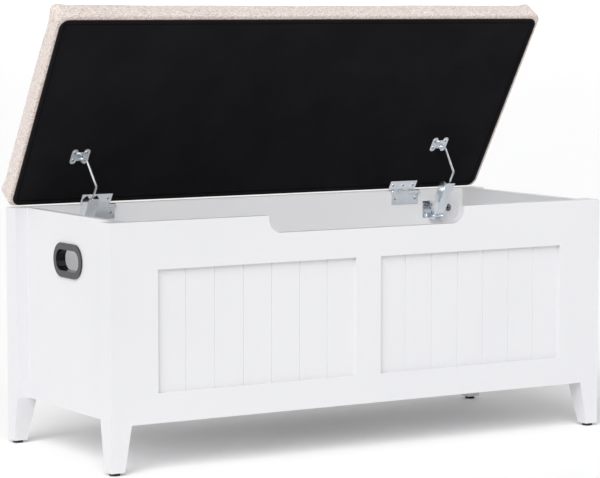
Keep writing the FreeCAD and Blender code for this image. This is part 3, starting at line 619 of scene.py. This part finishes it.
def make_dust_cover():
    """One cloth with a turned hem, stapled round its edge, with slight slack between."""
    low, high = shut_box("dust_cover")
    rows = round_rows(low, high, CLOTH_CORNER, CELL)
    columns = int((high.x - low.x) / CELL)
    form = bmesh.new()
    grid = []
    for y, inset in rows:
        line = []
        for column in range(columns + 1):
            x = low.x + inset + (high.x - low.x - 2 * inset) * column / columns
            point = Vector((x, y, 0))
            edge = edge_distance(point, low, high, CLOTH_CORNER)
            hem = 1 - smooth_share(edge, HEM_WIDTH - 1.5 * MM, HEM_WIDTH + 1.5 * MM)
            slack = smooth_share(edge, 0, 60 * MM)
            wave = (noise.noise(Vector((x * 6, y * 6, 1))) * 0.35 * MM
                    + noise.noise(Vector((x * 21, y * 21, 5))) * 0.12 * MM)
            sag = HEM_RISE * hem + slack * (0.25 * MM + wave * 0.6)
            point.z = high.z - 0.25 * MM - max(0.0, sag)
            line.append(form.verts.new(point))
        grid.append(line)
    for first, second in zip(grid, grid[1:]):
        for a, b, c, d in zip(first, first[1:], second[1:], second):
            form.faces.new((a, b, c, d))
    bmesh.ops.recalc_face_normals(form, faces=form.faces)
    item = new_piece("dust_cloth", form, CLOTH)
    thick = item.modifiers.new("thick", "SOLIDIFY")
    thick.thickness = 0.5 * MM
    thick.offset = 0
    apply_all(item)
    item.matrix_world = OPEN
    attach(item, "lid")
    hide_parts("dust_cover")


make_dust_cover()


# ------------------------------------------------------------------ screws and cam locks with cross recesses
def cross_outline(arm, width, level):
    """Twelve corners of a cross, anticlockwise."""
    a, w = arm, width / 2
    corners = ((w, w), (w, a), (-w, a), (-w, w), (-a, w), (-a, -w),
               (-w, -w), (-w, -a), (w, -a), (w, -w), (a, -w), (a, w))
    return [Vector((x, y, level)) for x, y in corners]


def headed(form, where, rings, arm, width, depth):
    """Adds a turned solid whose first face has a cross recess, whose faces take the second material, a painted
    shade; its rings are (radius, level) pairs.
    """
    count, narrowing = 32, 0.55
    circles = [[form.verts.new(where @ on_circle(radius, step, count, level)) for step in range(count)]
               for radius, level in rings]
    top_level = rings[0][1]
    mouth = [form.verts.new(where @ p) for p in cross_outline(arm, width, top_level)]
    pit = [form.verts.new(where @ Vector((p.x * narrowing, p.y * narrowing, top_level + depth)))
           for p in cross_outline(arm, width, 0)]
    loops = []
    for ring in (circles[0], mouth):
        loops += [form.edges.new((a, b)) for a, b in zip(ring, ring[1:] + ring[:1])]
    bmesh.ops.triangle_fill(form, edges=loops, use_beauty=True)
    for upper, lower, finish in [(a, b, 0) for a, b in zip(circles, circles[1:])] + [(mouth, pit, 1)]:
        for a, b, c, d in zip(upper, upper[1:] + upper[:1], lower[1:] + lower[:1], lower):
            form.faces.new((a, b, c, d)).material_index = finish
    form.faces.new(pit).material_index = 1
    form.faces.new(circles[-1])


def heading(point, forward, spin):
    """A frame at a point whose Z runs forward, into the piece, turned by spin about it."""
    turn = Vector(forward).to_track_quat("Z", "Y").to_matrix().to_4x4()
    return Matrix.Translation(point) @ turn @ Matrix.Rotation(spin, 4, "Z")


def turned_set(name, node, body, slot, run, rings_of, arm, width, depth, finish, in_lid=False):
    """One piece holding a detailed solid, each turned a little further, for each solid of a CAD node."""
    form = bmesh.new()
    for number, points in enumerate(blocks(node)):
        if in_lid:
            points = [SHUT @ point for point in points]
        low, high = span(points)
        forward = into_panel(low, high) if run is None else run
        axis = max(range(3), key=lambda k: abs(forward[k]))
        face = (low + high) / 2
        face[axis] = low[axis] if forward[axis] > 0 else high[axis]
        headed(form, heading(face, forward, number * 0.77), rings_of(low, high, axis), arm, width, depth)
    bmesh.ops.recalc_face_normals(form, faces=form.faces)
    item = new_piece(name, form, finish, smooth=False)
    # The recess faces are painted dark as shade.
    item.data.materials.append(RECESS_PAINTED_SHADE)
    if in_lid:
        item.matrix_world = OPEN
    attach(item, body)
    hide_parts(node)


def length_and_radius(low, high, axis):
    size = high - low
    return size[axis], max(size[k] for k in range(3) if k != axis) / 2


def screw_rings(low, high, axis):
    """A countersunk head with a slightly raised middle."""
    length, radius = length_and_radius(low, high, axis)
    stem = radius * 0.45
    return ((radius * 0.7, -0.55 * MM), (radius * 0.9, -0.35 * MM), (radius * 0.98, 0.1 * MM),
            (radius, 0.15 * MM), (stem, radius - stem), (stem, length))


def cam_rings(low, high, axis):
    """A cam lock: a flat rim, a shallow dish inside it, and the drum below."""
    length, radius = length_and_radius(low, high, axis)
    return ((radius * 0.66, 0.7 * MM), (radius * 0.74, -0.1 * MM), (radius * 0.97, -0.1 * MM),
            (radius, 0.3 * MM), (radius, length))


def into_panel(low, high):
    """A cam lock points out of the bench, away from the inside of the box."""
    size, middle = high - low, (high + low) / 2
    thin = min(range(3), key=lambda k: size[k])
    forward = Vector((0, 0, 0))
    forward[thin] = math.copysign(1, middle[thin])
    return forward


# Lid screws run up into the board, with the lid closed; body screws run into the back panel.
INTO_LID, INTO_BACK = Vector((0, 0, 1)), Vector((0, 1, 0))

# A cross recess: half its span, the width of its arms and its depth.
SCREW_CROSS = (2.3 * MM, 1.0 * MM, 1.2 * MM)
CAM_CROSS = (4.0 * MM, 1.8 * MM, 2.2 * MM)
for title, node in (("lid_hinge_screw_heads", "hinge_lid_screws"),
                    ("bracket_screw_heads", "stay_bracket_screws")):
    turned_set(title, node, "lid", "zinc_steel", INTO_LID, screw_rings, *SCREW_CROSS, ZINC, in_lid=True)
for title, node in (("body_hinge_screw_heads", "hinge_body_screws"),
                    ("base_screw_heads", "stay_base_screws")):
    turned_set(title, node, "bench", "zinc_steel", INTO_BACK, screw_rings, *SCREW_CROSS, ZINC)
turned_set("cam_lock_faces", "cam_locks", "bench", "zinc_steel", None, cam_rings, *CAM_CROSS, DIE_CAST)


# ------------------------------------------------------------------ springs
def make_spring(side):
    """A compression spring with closed ends, standing in the channel."""
    slide = JOINTS["plunger_slide_" + side]
    along = Vector(slide["axis"]).normalized()
    points = [vertex.co for vertex in NODES["stay_spring_" + side].data.vertices]
    low, high = span(points)
    middle = (low + high) / 2
    reach = [(p - middle).dot(along) for p in points]
    foot, length = middle + along * min(reach), max(reach) - min(reach)
    sideways = Vector((1, 0, 0))
    third = along.cross(sideways)
    wire, turns, closed, around = 0.7 * MM, 7, 1.25, 24
    radius = max(abs(p.x - middle.x) for p in points) - wire
    total = turns + 2 * closed
    steps = int(total * around)
    sections = 8
    form = bmesh.new()
    rings = []
    for step in range(steps + 1):
        turn = total * step / steps
        if turn < closed:
            height = turn * 2 * wire
        elif turn > total - closed:
            height = length - 2 * wire - (total - turn) * 2 * wire
        else:
            height = closed * 2 * wire + (length - 2 * wire - 4 * closed * wire) * (turn - closed) / turns
        angle = math.tau * turn
        out = sideways * math.cos(angle) + third * math.sin(angle)
        centre = foot + along * (height + wire) + out * radius
        rings.append([form.verts.new(centre + (out * math.cos(math.tau * k / sections)
                                               + along * math.sin(math.tau * k / sections)) * wire)
                      for k in range(sections)])
    for first, second in zip(rings, rings[1:]):
        for k in range(sections):
            form.faces.new((first[k], first[(k + 1) % sections], second[(k + 1) % sections], second[k]))
    form.faces.new(rings[0])
    form.faces.new(rings[-1])
    bmesh.ops.recalc_face_normals(form, faces=form.faces)
    item = new_piece("coil_spring_" + side, form, WIRE)
    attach(item, "channel_" + side)
    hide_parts("stay_spring_" + side)
    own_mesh(item)


for side in SIDES:
    make_spring(side)
